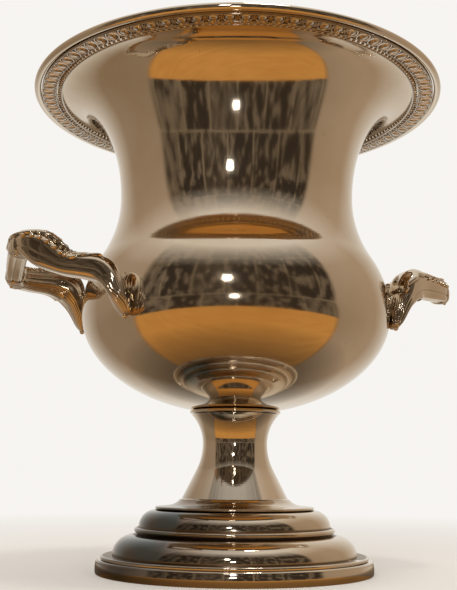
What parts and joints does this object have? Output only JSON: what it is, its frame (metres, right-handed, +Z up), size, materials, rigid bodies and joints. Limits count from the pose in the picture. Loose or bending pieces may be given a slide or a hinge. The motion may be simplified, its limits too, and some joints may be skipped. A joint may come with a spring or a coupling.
{
  "type": "silver champagne bucket",
  "caption": "Campana-shaped champagne bucket with an everted ornamented lip, two fixed loop handles and a trumpet stem on a stepped round foot.",
  "frame": {"origin": "centre of the foot's underside, on the surface that the bucket stands on", "axes": "+Z up along the axis of the bowl and stem, +X through the middle of one handle"},
  "size_m": [0.2504, 0.2286, 0.2613],
  "materials": {
    "silver_body": "mirror-polished silver plate, warm toned",
    "silver_rim": "polished silver plate with darkened recesses",
    "silver_foot": "polished silver plate with fine spinning marks",
    "silver_handle": "polished cast silver plate with darkened recesses",
    "brass_inside": "satin",
    "steel_fixing": "zinc plated, satin"
  },
  "bodies": {
    "root": {"body_shell": "silver_body", "rim_wire": "silver_rim", "rim_border": "silver_rim", "rim_bead": "silver_rim", "stem_collar": "silver_foot", "stem": "silver_foot", "foot": "silver_foot", "foot_band": "silver_foot", "bowl_boss": "brass_inside", "tie_stud": "steel_fixing", "foot_washer": "steel_fixing", "lock_washer": "steel_fixing", "hex_nut": "steel_fixing", "handle_right": "silver_handle", "handle_left": "silver_handle"}
  },
  "joints": []
}
